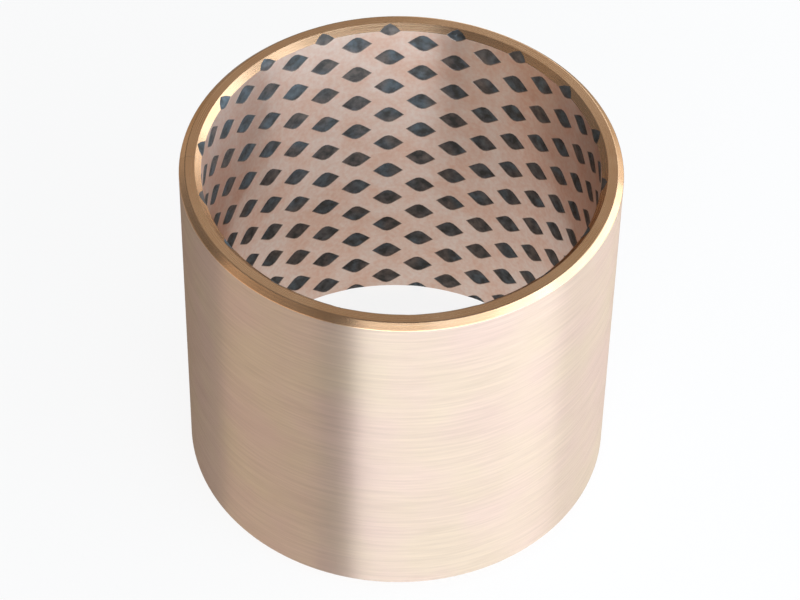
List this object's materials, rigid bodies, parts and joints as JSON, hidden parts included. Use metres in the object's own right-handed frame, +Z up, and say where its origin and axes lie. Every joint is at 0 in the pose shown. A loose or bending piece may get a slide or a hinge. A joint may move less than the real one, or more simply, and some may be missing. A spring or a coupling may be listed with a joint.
{
  "type": "graphite plugged bushing",
  "caption": "Plain cylindrical bush wrapped from bronze strip, with a lozenge pattern of flush graphite plugs all over its bore to lubricate a shaft.",
  "frame": {"origin": "middle of the lower end face, on the axis of the bore", "axes": "+Z up along the bore; the butt joint of the strip lies near -X"},
  "size_m": [0.05, 0.05, 0.045],
  "materials": {
    "bronze": "satin",
    "graphite": "matte"
  },
  "bodies": {
    "root": {"bushing_shell": "bronze", "graphite_row_01": "graphite", "graphite_row_02": "graphite", "graphite_row_03": "graphite", "graphite_row_04": "graphite", "graphite_row_05": "graphite", "graphite_row_06": "graphite", "graphite_row_07": "graphite", "graphite_row_08": "graphite", "graphite_row_09": "graphite", "graphite_row_10": "graphite", "graphite_row_11": "graphite", "graphite_row_12": "graphite", "graphite_row_13": "graphite", "graphite_row_14": "graphite", "graphite_row_15": "graphite", "graphite_row_16": "graphite", "graphite_row_17": "graphite", "graphite_row_18": "graphite", "graphite_row_19": "graphite", "graphite_row_20": "graphite"}
  },
  "joints": []
}
